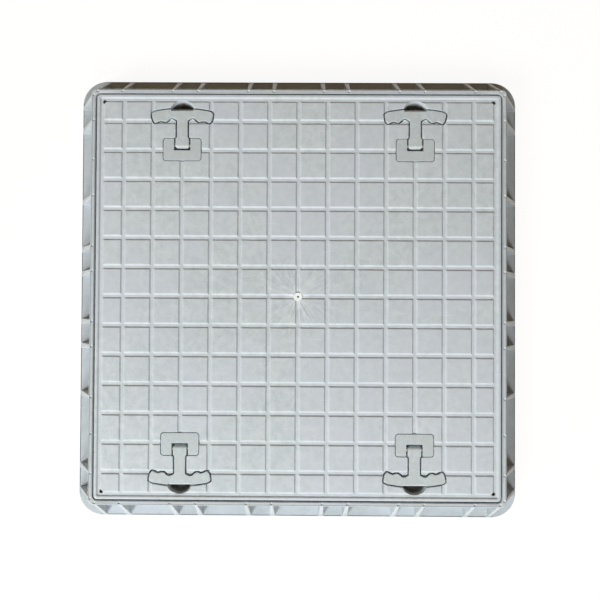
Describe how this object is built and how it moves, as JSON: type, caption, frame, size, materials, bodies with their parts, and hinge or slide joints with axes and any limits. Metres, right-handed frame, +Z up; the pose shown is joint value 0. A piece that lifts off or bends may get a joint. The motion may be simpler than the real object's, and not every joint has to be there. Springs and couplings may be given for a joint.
{
  "type": "composite access cover with frame",
  "caption": "Square moulded composite access cover with a grid of raised tread pads and fold-flat T handles, seated flush in a flanged, gusseted frame.",
  "frame": {"origin": "middle of the frame's underside", "axes": "+Z up out of the walking surface, +X to the right and +Y to the back, towards the pair of handles called back"},
  "size_m": [0.72, 0.72, 0.065],
  "materials": {
    "frame_composite": "moulded glass-reinforced composite, satin",
    "cover_composite": "moulded glass-reinforced composite, satin with faint flow marks",
    "handle_composite": "moulded glass-reinforced composite, matt",
    "retainer_composite": "moulded glass-reinforced composite, satin",
    "seal_rubber": "solid rubber strip, matt",
    "pin_steel": "drawn stainless steel",
    "screw_steel": "stainless steel"
  },
  "bodies": {
    "root": {"frame": "frame_composite", "seat_seal": "seal_rubber", "cover": "cover_composite", "pivot_pin_back_left": "pin_steel", "pivot_pin_back_right": "pin_steel", "pivot_pin_front_left": "pin_steel", "pivot_pin_front_right": "pin_steel", "retainer_plate_back_left": "retainer_composite", "retainer_plate_back_right": "retainer_composite", "retainer_plate_front_left": "retainer_composite", "retainer_plate_front_right": "retainer_composite", "retainer_screws_back_left": "screw_steel", "retainer_screws_back_right": "screw_steel", "retainer_screws_front_left": "screw_steel", "retainer_screws_front_right": "screw_steel"},
    "handle_back_left_body": {"handle_back_left": "handle_composite"},
    "handle_back_right_body": {"handle_back_right": "handle_composite"},
    "handle_front_left_body": {"handle_front_left": "handle_composite"},
    "handle_front_right_body": {"handle_front_right": "handle_composite"}
  },
  "joints": [
    {"name": "handle_back_left_lift", "type": "hinge", "parent": "root", "child": "handle_back_left_body", "pos_m": [-0.1832, 0.2383, 0.0594], "axis": [1, 0, 0], "range_deg": [0, 95]},
    {"name": "handle_back_right_lift", "type": "hinge", "parent": "root", "child": "handle_back_right_body", "pos_m": [0.1832, 0.2383, 0.0594], "axis": [1, 0, 0], "range_deg": [0, 95]},
    {"name": "handle_front_left_lift", "type": "hinge", "parent": "root", "child": "handle_front_left_body", "pos_m": [-0.1832, -0.2383, 0.0594], "axis": [-1, 0, 0], "range_deg": [0, 95]},
    {"name": "handle_front_right_lift", "type": "hinge", "parent": "root", "child": "handle_front_right_body", "pos_m": [0.1832, -0.2383, 0.0594], "axis": [-1, 0, 0], "range_deg": [0, 95]}
  ]
}
